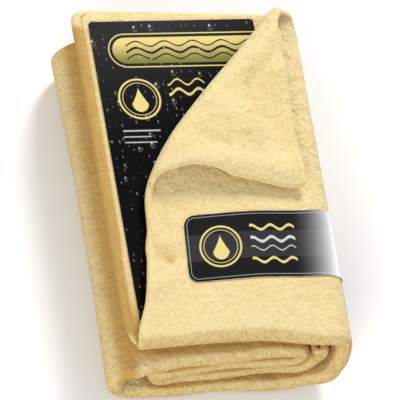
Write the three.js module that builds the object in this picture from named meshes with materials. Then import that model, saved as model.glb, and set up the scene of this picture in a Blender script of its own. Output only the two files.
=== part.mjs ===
// Folded chamois leather: one hide, doubled and wrapped into a flat pack, with a printed
// card in its front pocket and a wrap band round its right side.
// Millimetres, +Z up. The pack lies on its back: X is its width, Y its length, and the
// origin is on the floor under the middle of the pack. The near end is the -Y end.
import * as THREE from "three";

// Pack
const packWidth = 139;
const panelLength = 202.5; // the wrapped panels under the pocket
const panelLean = 8; // how far the inner panels' near folds draw back towards the right
const baseLean = 3; // the same for the base panel
const leanInset = 12.5; // where that begins, from the pack's left side
const pocketLength = 207.5; // the back leaf of the pocket
const pocketSetBack = 9.5; // how far the pocket's near fold lies behind the panels' near fold
const pocketBow = 3.3; // how far the pocket's near fold bows back under the flap's crown

// Hide
const ply = 4.6; // leather thickness
const plyGap = 0.6; // between the two plies of the doubled hide
const panelGap = 0.8; // between wrapped panels
const baseGap = 1.2; // between the base panel and the panel on it
const wallGap = 1.6; // between the right side wall and the tail inside it
const leftHollow = 14; // open space between the two left folds
const tailAngle = 33; // degrees that the inner tail climbs past the level of its fold
const cornerRadius = 10; // right side corners, at the middle of the doubled hide
const riseRadius = 60; // sweep of the underside up to the right side
const riseAngle = 25;

// Pocket
const pocketLift = 2.6; // slack between the wrapped panels and the pocket
const pocketInset = 7.5; // left edge of the pocket's back leaf, from the pack's left side
const pocketDraw = 5.5; // how far that edge is drawn in at the near fold
const pocketDrawShare = 0.4; // share of the back leaf's length over which it is drawn in
const pocketSkew = 5; // how much shorter the back leaf is on the right
const flapInset = 11.1; // left edge of the front flap at its near end
const flapShort = 10; // the flap's far edge stops this far short of the back leaf's
const flapCrown = 5; // bulge of the front flap
const crownPlace = 0.38; // top of the bulge, as a share of the flap's width from the right

// Turned corner of the front flap
const creaseInset = 29.8; // lower end of the crease, from the pack's left side
const creaseHeight = 107.3; // lower end of the crease, from the panels' near end
const creaseStop = 0.5; // upper end of the crease, from the right side's round
const bendRadius = 5; // middle of the ply at the crease
const tipReach = 71; // tip of the corner, square to the crease
const tipAlong = 59; // tip of the corner, along the crease from its lower end
const tipBlunt = 5; // what the rounded tip takes off the sharp corner
const cornerRest = 0.4; // gap under the tip
const landing = 56; // distance over which the corner comes down on the flap

// Card and band
const cardThickness = 0.6;
const cardInset = 6.5; // card's left edge from the pocket's left edge
const cardStop = 12.1; // card's right edge from the right side's round
const cardFarInset = 6.3; // card's far edge from the pocket's far edge
const cardCorner = 2;
const cardPlay = 0.3; // play above and below the card
const cardSeatGap = 1; // between the card and the fold at the bottom of the pocket
const bandThickness = 0.4;
const bandWidth = 40;
const bandPlay = 0.3; // between the band and the hide
const bandFar = 85.3; // far edge of the band at its front end, from the panels' near end
const bandInset = 46.2; // left end of the band from the pack's left side
const bandCorner = 6;
const bandSkew = 2.8; // degrees that the band is turned from square

// Facets
const foldSteps = 8; // per half turn
const sweepSteps = 5;
const nearFoldSteps = 6;
const frontSteps = 8;
const creaseSteps = 5;
const cornerRows = 7;
const bandSteps = 9;

// Joint clearance between pieces that meet
const seam = 0.3;

// Worked out from the sizes above
const doubled = 2 * ply + plyGap;
const half = doubled / 2;
const pocketGap = cardThickness + 2 * cardPlay;
const nearY = -(pocketLength + pocketSetBack) / 2;
const leftX = -packWidth / 2;
const rightX = packWidth / 2;
const baseZ = half;
const lowerZ = baseZ + doubled + baseGap;
const middleZ = lowerZ + doubled + panelGap;
const upperZ = middleZ + doubled + panelGap;
const frontZ = upperZ + half + pocketLift + ply + pocketGap / 2;
const outerLeftRadius = (upperZ - baseZ) / 2;
const innerLeftRadius = (middleZ - lowerZ) / 2;
const innerRightRadius = (upperZ - middleZ) / 2;
const tailRadius = (middleZ + upperZ) / 2 - lowerZ;
const outerLeftX = leftX + half + outerLeftRadius;
const innerLeftX = leftX + doubled + leftHollow + half + innerLeftRadius;
const innerRightX = rightX - doubled - wallGap - half - tailRadius;
const turnX = rightX - half - cornerRadius;
const leanX = leftX + leanInset;
const pocketNearY = nearY + pocketSetBack;
const pocketFarY = pocketNearY + pocketLength;
const panelFarY = nearY + panelLength;
const flapFarY = pocketFarY - flapShort;
const pocketX = leftX + pocketInset;
const flapX = leftX + flapInset;
const flapZ = frontZ + pocketGap / 2 + ply / 2;

const radians = THREE.MathUtils.degToRad;
const mix = THREE.MathUtils.lerp;
const smooth = (t) => THREE.MathUtils.smoothstep(t, 0, 1);

// Crease of the turned corner, in plan
const creaseStart = new THREE.Vector2(leftX + creaseInset, nearY + creaseHeight);
const creaseEnd = new THREE.Vector2(turnX - creaseStop, flapFarY);
const creaseLength = creaseStart.distanceTo(creaseEnd);
const along = creaseEnd.clone().sub(creaseStart).normalize();
const outward = new THREE.Vector2(-along.y, along.x);

// Share of the front flap's bulge at one place across the pack
function crownShare(x) {
  const run = (turnX - x) / (turnX - flapX);
  const past = (run - crownPlace) / (1 - crownPlace);
  return past < 0 ? smooth(run / crownPlace) : Math.max(0, 1 - past * past);
}

// Rise of the puffed front flap above its flat level
const crownAt = (x) => flapCrown * crownShare(x);

// How far the near fold lies behind the pack's near end, at a place of the wrapped strip
function wrappedSetBack(x, z) {
  const lean = mix(baseLean, panelLean, smooth((z - baseZ) / (lowerZ - baseZ)));
  const run = THREE.MathUtils.clamp((x - leanX) / (innerRightX - leanX), 0, 1);
  return lean * Math.sin((run * Math.PI) / 2);
}

// Far edge of the pocket's back leaf at a place across the pack
const pocketFarAt = (x) => pocketFarY - (pocketSkew * (x - pocketX)) / (turnX - pocketX);

// Walks the middle line of the doubled hide in the XZ plane, as a strip of panels and folds
class StripWalk {
  constructor(x, z, headingDegrees) {
    this.x = x;
    this.z = z;
    this.heading = radians(headingDegrees);
    this.stations = [];
    this.mark();
  }

  mark() {
    const out = this.heading - Math.PI / 2;
    const station = { x: this.x, z: this.z, outX: Math.cos(out), outZ: Math.sin(out) };
    this.stations.push(station);
  }

  forward(length) {
    this.x += length * Math.cos(this.heading);
    this.z += length * Math.sin(this.heading);
    this.mark();
    return this;
  }

  // A positive angle turns left, towards +Z from +X
  fold(radius, degrees, steps) {
    const step = radians(degrees) / steps;
    const chord = 2 * radius * Math.sin(Math.abs(step) / 2);
    for (let count = 0; count < steps; count += 1) {
      this.x += chord * Math.cos(this.heading + step / 2);
      this.z += chord * Math.sin(this.heading + step / 2);
      this.heading += step;
      this.mark();
    }
    return this;
  }
}

const stepsFor = (degrees) => Math.max(2, Math.round((foldSteps * degrees) / 180));

// From the inner tail, round the inner folds and the left fold, to the start of the base's sweep
function walkInnerPanels() {
  const tail = radians(tailAngle);
  const tailX = innerRightX + tailRadius * Math.cos(tail);
  const tailZ = (middleZ + upperZ) / 2 + tailRadius * Math.sin(tail);
  const walk = new StripWalk(tailX, tailZ, tailAngle - 90);
  walk.fold(tailRadius, -90 - tailAngle, stepsFor(90 + tailAngle));
  walk.forward(innerRightX - innerLeftX);
  walk.fold(innerLeftRadius, -180, foldSteps);
  walk.forward(innerRightX - innerLeftX);
  walk.fold(innerRightRadius, 180, foldSteps);
  walk.forward(innerRightX - outerLeftX);
  walk.fold(outerLeftRadius, 180, foldSteps);
  return walk.stations;
}

// The underside's sweep and the right side, up to the start of the front
function walkRightSide() {
  const rise = radians(riseAngle);
  const sweepX = turnX + cornerRadius * Math.sin(rise) - riseRadius * Math.sin(rise);
  const sweepTopZ = baseZ + riseRadius * (1 - Math.cos(rise));
  const wall = frontZ - cornerRadius - sweepTopZ - cornerRadius * Math.cos(rise);
  const walk = new StripWalk(sweepX, baseZ, 0);
  walk.fold(riseRadius, riseAngle, sweepSteps);
  walk.fold(cornerRadius, 90 - riseAngle, stepsFor(90 - riseAngle));
  walk.forward(wall);
  walk.fold(cornerRadius, 90, stepsFor(90));
  return walk.stations;
}

// Closed solid between two grids of points that share their rim; rows may be of any length
function shellSolid(outerGrid, innerGrid) {
  const rows = outerGrid.length;
  const columns = outerGrid[0].length;
  const points = [...outerGrid.flat(), ...innerGrid.flat()];
  const outer = (row, column) => row * columns + column;
  const inner = (row, column) => rows * columns + outer(row, column);
  const index = [];
  const quad = (a, b, c, d) => index.push(a, b, c, a, c, d);
  for (let row = 0; row + 1 < rows; row += 1) {
    for (let column = 0; column + 1 < columns; column += 1) {
      quad(outer(row, column), outer(row + 1, column), outer(row + 1, column + 1), outer(row, column + 1));
      quad(inner(row, column), inner(row, column + 1), inner(row + 1, column + 1), inner(row + 1, column));
    }
    const last = columns - 1;
    quad(outer(row, 0), inner(row, 0), inner(row + 1, 0), outer(row + 1, 0));
    quad(outer(row, last), outer(row + 1, last), inner(row + 1, last), inner(row, last));
  }
  for (let column = 0; column + 1 < columns; column += 1) {
    const end = rows - 1;
    quad(outer(0, column), outer(0, column + 1), inner(0, column + 1), inner(0, column));
    quad(outer(end, column), inner(end, column), inner(end, column + 1), outer(end, column + 1));
  }
  return facedOutward(points, index);
}

// Turns all faces round if they enclose a negative volume
function facedOutward(points, index) {
  let volume = 0;
  for (let i = 0; i < index.length; i += 3) {
    const [a, b, c] = [points[index[i]], points[index[i + 1]], points[index[i + 2]]];
    volume += a.dot(b.clone().cross(c));
  }
  const faces = volume < 0 ? index.slice().reverse() : index;
  const geometry = new THREE.BufferGeometry();
  geometry.setFromPoints(points);
  geometry.setIndex(faces);
  geometry.computeVertexNormals();
  return geometry;
}

// Rows across the doubled hide: each has its place on the strip, its share of the front and its gap
function hideRows() {
  const inner = walkInnerPanels().map((station) => ({ ...station, front: 0, gap: plyGap }));
  const side = walkRightSide();
  const topSteps = stepsFor(90);
  const right = side.map((station, place) => {
    const front = smooth((station.z - baseZ) / (frontZ - baseZ));
    const open = Math.max(0, place - (side.length - 1 - topSteps)) / topSteps;
    return { ...station, front, gap: mix(plyGap, pocketGap, open) };
  });
  const frontRows = Array.from({ length: frontSteps }, (_, place) => ({
    z: frontZ, outX: 0, outZ: 1, front: 1, gap: pocketGap, share: (place + 1) / frontSteps,
  }));
  return [...inner, ...right, ...frontRows];
}

// One point of the doubled hide. The strip's columns run from the far edge of the outer ply,
// round the near fold, to the far edge of the inner ply; the front flap is the outer ply's end.
function hidePoint(row, column, outside) {
  const columnShape = hideColumns[column];
  const wrapped = row.share === undefined;
  const x = wrapped ? row.x : mix(turnX, columnShape.endX, row.share);
  const crown = wrapped ? 0 : crownAt(x);
  const frontSetBack = pocketSetBack + (wrapped ? 0 : pocketBow * crownShare(x));
  const setBack = mix(wrappedSetBack(x, row.z), frontSetBack, row.front);
  const near = nearY + setBack + half;
  const wall = outside ? ply : 0;
  const above = row.gap / 2 + wall + crown;
  const below = row.gap / 2 + wall;
  const offset = (above - below) / 2 + ((above + below) / 2) * Math.cos(columnShape.turn);
  const reach = outside ? half : half - ply;
  const y = columnShape.atY ? columnShape.atY(row.front, x, near) : near - reach * Math.sin(columnShape.turn);
  return new THREE.Vector3(x + row.outX * offset, y, row.z + row.outZ * offset);
}

// Columns of the hide, with the place where the front of each ends on the left
const hideColumns = [
  { turn: 0, endX: creaseEnd.x, atY: (front) => mix(panelFarY, flapFarY, front) },
  { turn: 0, endX: creaseStart.x, atY: () => creaseStart.y },
  ...Array.from({ length: nearFoldSteps + 1 }, (_, step) => ({
    turn: (Math.PI * step) / nearFoldSteps,
    endX: mix(flapX, pocketX + pocketDraw, step / nearFoldSteps),
  })),
  { turn: Math.PI, endX: pocketX, atY: (front, x, near) => mix(near, leafFarAt(front, x), pocketDrawShare) },
  { turn: Math.PI, endX: pocketX, atY: leafFarAt },
];

// Far edge of the inner ply
function leafFarAt(front, x) {
  return mix(panelFarY, pocketFarAt(x), front);
}

function foldedHide() {
  const rows = hideRows();
  const grid = (outside) => rows.map((row) => hideColumns.map((_, column) => hidePoint(row, column, outside)));
  return shellSolid(grid(true), grid(false));
}

// Flat distance from the crease to the sharp tip of the corner, over the bend
const cornerAltitude = Math.PI * bendRadius + tipReach;

// Place along the crease of one column of the corner, in a row at a flat distance from the crease
function creasePlace(flatDistance, share) {
  const taper = flatDistance / cornerAltitude;
  const first = tipAlong * taper;
  const last = creaseLength - (creaseLength - tipAlong) * taper;
  return mix(first, last, share);
}

// Point over the pack at a place along the crease and a distance square to it
function planPoint(place, sideways) {
  const plan = creaseStart.clone().addScaledVector(along, place).addScaledVector(outward, sideways);
  return new THREE.Vector3(plan.x, plan.y, flapZ + crownAt(plan.x));
}

// The half round of leather at the crease, from the flap's cut up to the turned corner
function cornerBend() {
  const grid = (radius) => Array.from({ length: foldSteps + 1 }, (_, step) => {
    const turn = (Math.PI * step) / foldSteps;
    return Array.from({ length: creaseSteps + 1 }, (_, column) => {
      const place = creasePlace(bendRadius * turn, column / creaseSteps);
      const point = planPoint(place, seam + radius * Math.sin(turn));
      point.z = planPoint(place, 0).z + bendRadius - radius * Math.cos(turn);
      return point;
    });
  });
  return shellSolid(grid(bendRadius + ply / 2), grid(bendRadius - ply / 2));
}

// The corner lying back over the flap: high at the crease, down on the flap at its tip
function turnedCorner() {
  const drop = 2 * bendRadius - ply - cornerRest;
  const lengthOver = tipReach - tipBlunt;
  const grid = (lift) => Array.from({ length: cornerRows + 1 }, (_, row) => {
    const distance = (lengthOver * row) / cornerRows;
    return Array.from({ length: creaseSteps + 1 }, (_, column) => {
      const place = creasePlace(Math.PI * bendRadius + distance, column / creaseSteps);
      const point = planPoint(place, -distance);
      point.z += 2 * bendRadius - drop * smooth(distance / landing) + lift;
      return point;
    });
  });
  return shellSolid(grid(ply / 2), grid(-ply / 2));
}

function insertCard() {
  const left = pocketX + cardInset;
  const right = turnX - cardStop;
  const near = pocketNearY + pocketBow + ply + cardSeatGap;
  const far = pocketFarY - cardFarInset;
  const outline = new THREE.Shape();
  outline.moveTo(left + cardCorner, near);
  outline.lineTo(right - cardCorner, near);
  outline.absarc(right - cardCorner, near + cardCorner, cardCorner, -Math.PI / 2, 0);
  outline.lineTo(right, far - cardCorner);
  outline.absarc(right - cardCorner, far - cardCorner, cardCorner, 0, Math.PI / 2);
  outline.lineTo(left + cardCorner, far);
  outline.absarc(left + cardCorner, far - cardCorner, cardCorner, Math.PI / 2, Math.PI);
  outline.lineTo(left, near + cardCorner);
  outline.absarc(left + cardCorner, near + cardCorner, cardCorner, Math.PI, 1.5 * Math.PI);
  const card = new THREE.ExtrudeGeometry(outline, {
    depth: cardThickness, bevelEnabled: false, curveSegments: 5,
  });
  return card.translate(0, 0, frontZ - cardThickness / 2);
}

// Stations of the band on the hide's outer face, from its back end to its front end
function bandStations() {
  const skin = half + bandPlay;
  const lowest = skin + bandThickness;
  const round = walkRightSide().filter((station) => station.z + station.outZ * lowest >= 0);
  const side = round.map((station) => ({ ...station, crown: 0 }));
  const bandEnd = leftX + bandInset;
  const front = Array.from({ length: bandSteps }, (_, place) => {
    const x = mix(turnX, bandEnd, (place + 1) / bandSteps);
    return { x, z: frontZ, outX: 0, outZ: 1, crown: crownAt(x) };
  });
  const corner = [0.5, 0.8, 1].map((share) => {
    const x = bandEnd + bandCorner * (1 - Math.sin((share * Math.PI) / 2));
    return { x, z: frontZ, outX: 0, outZ: 1, crown: crownAt(x) };
  });
  const beforeCorner = front.filter((station) => station.x > bandEnd + bandCorner);
  return [...side, ...beforeCorner, ...corner];
}

// Distance from the band's front end back along the band to each station
function bandLengths(stations) {
  const lengths = stations.map(() => 0);
  for (let place = stations.length - 2; place >= 0; place -= 1) {
    const [here, before] = [stations[place], stations[place + 1]];
    lengths[place] = lengths[place + 1] + Math.hypot(here.x - before.x, here.z - before.z);
  }
  return lengths;
}

function wrapBand() {
  const bandEnd = leftX + bandInset;
  const endMiddleY = nearY + bandFar - bandWidth / 2;
  const pocketWiden = (pocketGap - plyGap) / 2;
  const stations = bandStations();
  const lengths = bandLengths(stations);
  const grid = (lift) => stations.map((station, place) => {
    const intoCorner = Math.max(0, bandCorner - (station.x - bandEnd));
    const onFront = station.outZ > 0.99;
    const cut = onFront ? bandCorner - Math.sqrt(Math.max(0, bandCorner ** 2 - intoCorner ** 2)) : 0;
    const reach = bandWidth / 2 - cut;
    const middleY = endMiddleY + lengths[place] * Math.tan(radians(bandSkew));
    const offset = half + pocketWiden * Math.max(0, station.outZ) + bandPlay + station.crown + lift;
    return [-reach, reach].map((y) => new THREE.Vector3(
      station.x + station.outX * offset, middleY + y, station.z + station.outZ * offset));
  });
  return shellSolid(grid(bandThickness), grid(0));
}

const leather = () => new THREE.MeshStandardMaterial({ color: "#efd9a0", roughness: 0.95, metalness: 0 });
const blackBoard = () => new THREE.MeshStandardMaterial({ color: "#161617", roughness: 0.25, metalness: 0 });
const blackBand = () => new THREE.MeshStandardMaterial({ color: "#101012", roughness: 0.2, metalness: 0 });

function named(name, geometry, material) {
  const mesh = new THREE.Mesh(geometry, material);
  mesh.name = name;
  return mesh;
}

const pack = new THREE.Group();
pack.add(named("chamois_hide", foldedHide(), leather()));
pack.add(named("corner_bend", cornerBend(), leather()));
pack.add(named("turned_corner", turnedCorner(), leather()));
pack.add(named("insert_card", insertCard(), blackBoard()));
pack.add(named("wrap_band", wrapBand(), blackBand()));

export default pack;
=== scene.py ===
"""Looks of a folded chamois leather, with its insert card and wrap band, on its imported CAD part."""
import functools
import math
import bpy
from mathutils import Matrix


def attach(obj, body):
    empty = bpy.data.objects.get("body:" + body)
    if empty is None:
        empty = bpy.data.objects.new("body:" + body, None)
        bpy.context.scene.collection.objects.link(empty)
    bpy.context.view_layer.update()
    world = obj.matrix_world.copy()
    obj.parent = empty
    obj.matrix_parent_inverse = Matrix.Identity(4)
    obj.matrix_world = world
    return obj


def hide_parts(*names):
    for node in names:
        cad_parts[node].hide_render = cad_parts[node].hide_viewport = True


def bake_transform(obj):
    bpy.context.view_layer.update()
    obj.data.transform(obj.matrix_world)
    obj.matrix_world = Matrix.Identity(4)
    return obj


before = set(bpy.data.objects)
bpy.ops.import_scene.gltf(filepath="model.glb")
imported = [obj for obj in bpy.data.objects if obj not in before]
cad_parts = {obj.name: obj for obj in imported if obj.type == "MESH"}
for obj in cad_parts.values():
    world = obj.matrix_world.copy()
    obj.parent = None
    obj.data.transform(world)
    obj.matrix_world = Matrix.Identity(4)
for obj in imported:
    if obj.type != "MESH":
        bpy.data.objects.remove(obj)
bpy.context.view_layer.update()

from types import SimpleNamespace

import bmesh
import bpy
import numpy as np
from bpy.props import FloatProperty, FloatVectorProperty, PointerProperty
from mathutils import Matrix, Vector
from mathutils.bvhtree import BVHTree

bl_info = {
    "name": "Folded chamois leather",
    "version": (1, 0, 0),
    "blender": (4, 5, 0),
    "location": "3D View > Sidebar > Chamois",
    "description": "Dresses the packed part: folded hide, turned corner, insert card and wrap band",
    "category": "Add Mesh",
}

MM = 0.001


def size(name, description, default):
    return FloatProperty(
        name=name, description=description, default=default, unit="LENGTH", subtype="DISTANCE")


def angle(name, description, degrees):
    return FloatProperty(
        name=name, description=description, default=math.radians(degrees), unit="ROTATION", subtype="ANGLE")


def colour(name, description, default):
    return FloatVectorProperty(
        name=name, description=description, default=default, size=3, min=0, max=1, subtype="COLOR")


class HideSizes(bpy.types.PropertyGroup):
    """Sizes of the folded hide"""
    pack_width: size("Pack width", "Left fold to right side", 0.139)
    panel_length: size("Panel length", "Wrapped panels under the pocket", 0.2025)
    panel_lean: size("Panel lean", "How far the inner panels' near folds draw back towards the right", 0.008)
    base_lean: size("Base lean", "The same for the base panel", 0.003)
    lean_inset: size("Lean inset", "Where that begins, from the left side", 0.0125)
    near_swell: size("Near swell", "How far the near fold stands out at the right side", 0.0055)
    ply: size("Ply", "Leather thickness", 0.0046)
    ply_gap: size("Ply gap", "Between the two plies of the doubled hide", 0.0006)
    panel_gap: size("Panel gap", "Between wrapped panels", 0.0008)
    base_gap: size("Base gap", "Between the base panel and the panel on it", 0.0012)
    wall_gap: size("Wall gap", "Between the right side and the tail inside it", 0.0016)
    left_hollow: size("Left hollow", "Open space between the two left folds", 0.014)
    tail_angle: angle("Tail angle", "Climb of the inner tail past the level of its fold", 33)
    corner_radius: size("Corner radius", "Right side corners, at the middle of the doubled hide", 0.010)
    rise_radius: size("Rise radius", "Sweep of the underside up to the right side", 0.06)
    rise_angle: angle("Rise angle", "Turn of that sweep", 25)
    pocket_length: size("Pocket length", "Back leaf of the pocket", 0.2075)
    pocket_set_back: size("Pocket set-back", "Pocket's near fold behind the panels' near fold", 0.0095)
    pocket_bow: size("Pocket bow", "How far the pocket's near fold bows inwards", 0.0033)
    pocket_lift: size("Pocket lift", "Slack between the wrapped panels and the pocket", 0.0026)
    pocket_gap: size("Pocket gap", "Between the pocket's leaves, where the card is", 0.0012)
    pocket_inset: size("Pocket inset", "Left edge of the back leaf from the left side", 0.0075)
    pocket_draw: size("Pocket draw", "How far that edge is drawn in at the near fold", 0.0055)
    near_corner: size("Near corner", "Length over which that edge is drawn in", 0.016)
    pocket_corner: size("Pocket corner", "Radius of the back leaf's far corner", 0.005)
    pocket_groove: size("Pocket groove", "Depth of the groove beside the back leaf's left edge", 0.0010)
    groove_inset: size("Groove inset", "That groove from the edge", 0.0031)
    pocket_skew: size("Pocket skew", "How much shorter the back leaf is on the right", 0.005)
    flap_inset: size("Flap inset", "Left edge of the flap at its near end", 0.0111)
    flap_hollow: size("Flap hollow", "How far the flap's left edge is drawn in along its length", 0.0035)
    flap_short: size("Flap short", "Far edge of the flap short of the back leaf's", 0.010)
    flap_crown: size("Flap crown", "Bulge of the front flap", 0.005)
    crease_inset: size("Crease inset", "Lower end of the crease from the left side", 0.0298)
    crease_height: size("Crease height", "Lower end of the crease from the near end", 0.1073)
    crease_stop: size("Crease stop", "Upper end of the crease from the right side's round", 0.0005)
    roll_ease: size("Roll ease", "How softly the flap's left edge runs into the roll at the crease", 0.026)
    far_ease: size("Far ease", "How softly the flap's far edge runs into the roll", 0.024)
    far_bulge: size("Far bulge", "How far the flap's far edge stands out beside the roll", 0.005)
    far_hump: size("Far hump", "Rise of the flap's far edge beside the roll", 0.005)
    bend_radius: size("Bend radius", "Middle of the ply at the crease", 0.005)
    far_radius: size("Far radius", "The same at the crease's upper end, where the roll widens", 0.0085)
    far_flare: size("Far flare", "How far the roll's upper end stands out sideways", 0.0039)
    ridge_draw: size("Ridge draw", "How far the corner's free edge is drawn back on top of the roll", 0.0135)
    tip_reach: size("Tip reach", "Tip of the corner, square to the crease", 0.071)
    tip_along: size("Tip along", "Tip of the corner, along the crease", 0.059)
    tip_round: size("Tip round", "Length over which the tip is rounded", 0.010)
    corner_rest: size("Corner rest", "Gap under the tip", 0.0004)
    landing: size("Landing", "Distance over which the corner comes down on the flap", 0.066)


class BandSizes(bpy.types.PropertyGroup):
    """Sizes of the wrap band"""
    width: size("Width", "Band's width", 0.040)
    far: size("Far edge", "Far edge at the front end, from the near end of the pack", 0.0853)
    inset: size("Inset", "Front end from the left side", 0.0462)
    skew: angle("Skew", "Turn of the band from square", 2.8)
    slant: size("Slant", "How much further the front end's near corner reaches", 0.0027)
    corner: size("Corner", "Radius of the front end's corners", 0.006)
    thickness: size("Thickness", "Printed strip", 0.0004)
    play: size("Play", "Between the band and the hide", 0.0003)


class Finishes(bpy.types.PropertyGroup):
    """Colours of the hide, the card and the band, with painted shade on the hide, a painted reflection on the
    card and a painted highlight on the band
    """
    hide: colour("Hide", "Napped face of the leather", (0.97, 0.83, 0.49))
    # Also painted shade on leather turned away from above and towards the near end
    hide_nap_and_shade: colour("Hide, nap", "Leather between the tufts of the nap", (0.80, 0.54, 0.17))
    # Painted shade: deep in folds and gaps, beside and inside the pocket, and speckled on leather turned away
    # from above
    hide_painted_shade: colour("Hide, deep", "Leather where the nap lies pressed in a fold", (0.50, 0.26, 0.03))
    black: colour("Black print", "Ground of the card and the band", (0.004, 0.004, 0.0045))
    # Grey is print on the band and in the beads, and a painted reflection on the card's ground
    grey: colour("Grey print", "Paler ground of the card and the band", (0.035, 0.035, 0.037))
    silver: colour("Silver print", "Fine lines and beads", (0.62, 0.63, 0.64))
    gold: colour("Gold print", "Ornaments", (0.78, 0.63, 0.24))
    gold_deep: colour("Gold print, deep", "Darker end of the gold bar", (0.22, 0.21, 0.05))
    # This white is a painted highlight on the band's shoulder, where it turns round the right side
    white: colour("White print", "Pale sheen on the band's shoulder", (0.95, 0.95, 0.95))


def mix(low, high, share):
    return low + (high - low) * share


def smooth(share):
    held = np.clip(share, 0.0, 1.0)
    return held * held * (3 - 2 * held)


def fold_plan(sizes):
    """Levels, places and radii of the folds, worked out from the hide's sizes."""
    f = SimpleNamespace(**{name: getattr(sizes, name) for name in HideSizes.__annotations__})
    f.doubled = 2 * f.ply + f.ply_gap
    f.half = f.doubled / 2
    f.near_y = -(f.pocket_length + f.pocket_set_back) / 2
    f.left_x = -f.pack_width / 2
    f.right_x = f.pack_width / 2
    f.base_z = f.half
    f.lower_z = f.base_z + f.doubled + f.base_gap
    f.middle_z = f.lower_z + f.doubled + f.panel_gap
    f.upper_z = f.middle_z + f.doubled + f.panel_gap
    f.front_z = f.upper_z + f.half + f.pocket_lift + f.ply + f.pocket_gap / 2
    f.outer_left_radius = (f.upper_z - f.base_z) / 2
    f.inner_left_radius = (f.middle_z - f.lower_z) / 2
    f.inner_right_radius = (f.upper_z - f.middle_z) / 2
    f.tail_radius = (f.middle_z + f.upper_z) / 2 - f.lower_z
    f.outer_left_x = f.left_x + f.half + f.outer_left_radius
    f.inner_left_x = f.left_x + f.doubled + f.left_hollow + f.half + f.inner_left_radius
    f.inner_right_x = f.right_x - f.doubled - f.wall_gap - f.half - f.tail_radius
    f.turn_x = f.right_x - f.half - f.corner_radius
    f.pocket_near_y = f.near_y + f.pocket_set_back
    f.pocket_far_y = f.pocket_near_y + f.pocket_length
    f.panel_far_y = f.near_y + f.panel_length
    f.flap_far_y = f.pocket_far_y - f.flap_short
    f.pocket_x = f.left_x + f.pocket_inset
    f.flap_x = f.left_x + f.flap_inset
    f.flap_z = f.front_z + f.pocket_gap / 2 + f.ply / 2
    f.crease_start = np.array([f.left_x + f.crease_inset, f.near_y + f.crease_height])
    f.crease_end = np.array([f.turn_x - f.crease_stop, f.flap_far_y])
    run = f.crease_end - f.crease_start
    f.crease_length = float(np.hypot(*run))
    f.along = run / f.crease_length
    f.outward = np.array([-f.along[1], f.along[0]])
    edge = f.crease_start - np.array([f.flap_x, f.pocket_near_y])
    f.edge_out = np.array([-edge[1], edge[0]]) / np.hypot(*edge)
    f.lean_x = f.left_x + f.lean_inset
    return f


PANEL_STEP = 4 * MM
FOLD_STEP = 2 * MM


class StripWalk:
    """Walks the middle line of the doubled hide in the XZ plane, as panels and folds."""

    def __init__(self, x, z, heading):
        self.x, self.z, self.heading = x, z, heading
        self.stations = [(x, z, heading)]

    def go(self, length, turn):
        self.x += length * math.cos(self.heading + turn / 2)
        self.z += length * math.sin(self.heading + turn / 2)
        self.heading += turn
        self.stations.append((self.x, self.z, self.heading))

    def forward(self, length, step=PANEL_STEP):
        count = max(1, round(length / step))
        for _ in range(count):
            self.go(length / count, 0)

    def fold(self, radius, turn):
        count = max(4, math.ceil(radius * abs(turn) / FOLD_STEP))
        chord = 2 * radius * math.sin(abs(turn) / count / 2)
        for _ in range(count):
            self.go(chord, turn / count)


def walk_inner_panels(f):
    """From the inner tail, round the inner folds and the left fold, to the base panel."""
    tail_x = f.inner_right_x + f.tail_radius * math.cos(f.tail_angle)
    tail_z = (f.middle_z + f.upper_z) / 2 + f.tail_radius * math.sin(f.tail_angle)
    walk = StripWalk(tail_x, tail_z, f.tail_angle - math.pi / 2)
    walk.fold(f.tail_radius, -math.pi / 2 - f.tail_angle)
    walk.forward(f.inner_right_x - f.inner_left_x)
    walk.fold(f.inner_left_radius, -math.pi)
    walk.forward(f.inner_right_x - f.inner_left_x)
    walk.fold(f.inner_right_radius, math.pi)
    walk.forward(f.inner_right_x - f.outer_left_x)
    walk.fold(f.outer_left_radius, math.pi)
    return np.array(walk.stations)


def walk_right_side(f):
    """The base panel, its sweep and the right side, up to the start of the front."""
    run = f.rise_radius - f.corner_radius
    sweep_x = f.turn_x - run * math.sin(f.rise_angle)
    sweep_top = f.base_z + f.rise_radius * (1 - math.cos(f.rise_angle))
    wall = f.front_z - f.corner_radius - sweep_top - f.corner_radius * math.cos(f.rise_angle)
    walk = StripWalk(f.outer_left_x, f.base_z, 0)
    walk.forward(sweep_x - f.outer_left_x)
    walk.fold(f.rise_radius, f.rise_angle)
    walk.fold(f.corner_radius, math.pi / 2 - f.rise_angle)
    walk.forward(wall, step=FOLD_STEP)
    walk.fold(f.corner_radius, math.pi / 2)
    return np.array(walk.stations)[1:]


def crown_share(f, x):
    """Share of the flap's bulge across the pack: none at the right side's round or the left edge."""
    top = 0.38
    run = (f.turn_x - x) / (f.turn_x - f.flap_x)
    left = 1 - ((run - top) / (1 - top)) ** 2
    return np.where(run < top, smooth(run / top), np.clip(left, 0, 1))


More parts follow.
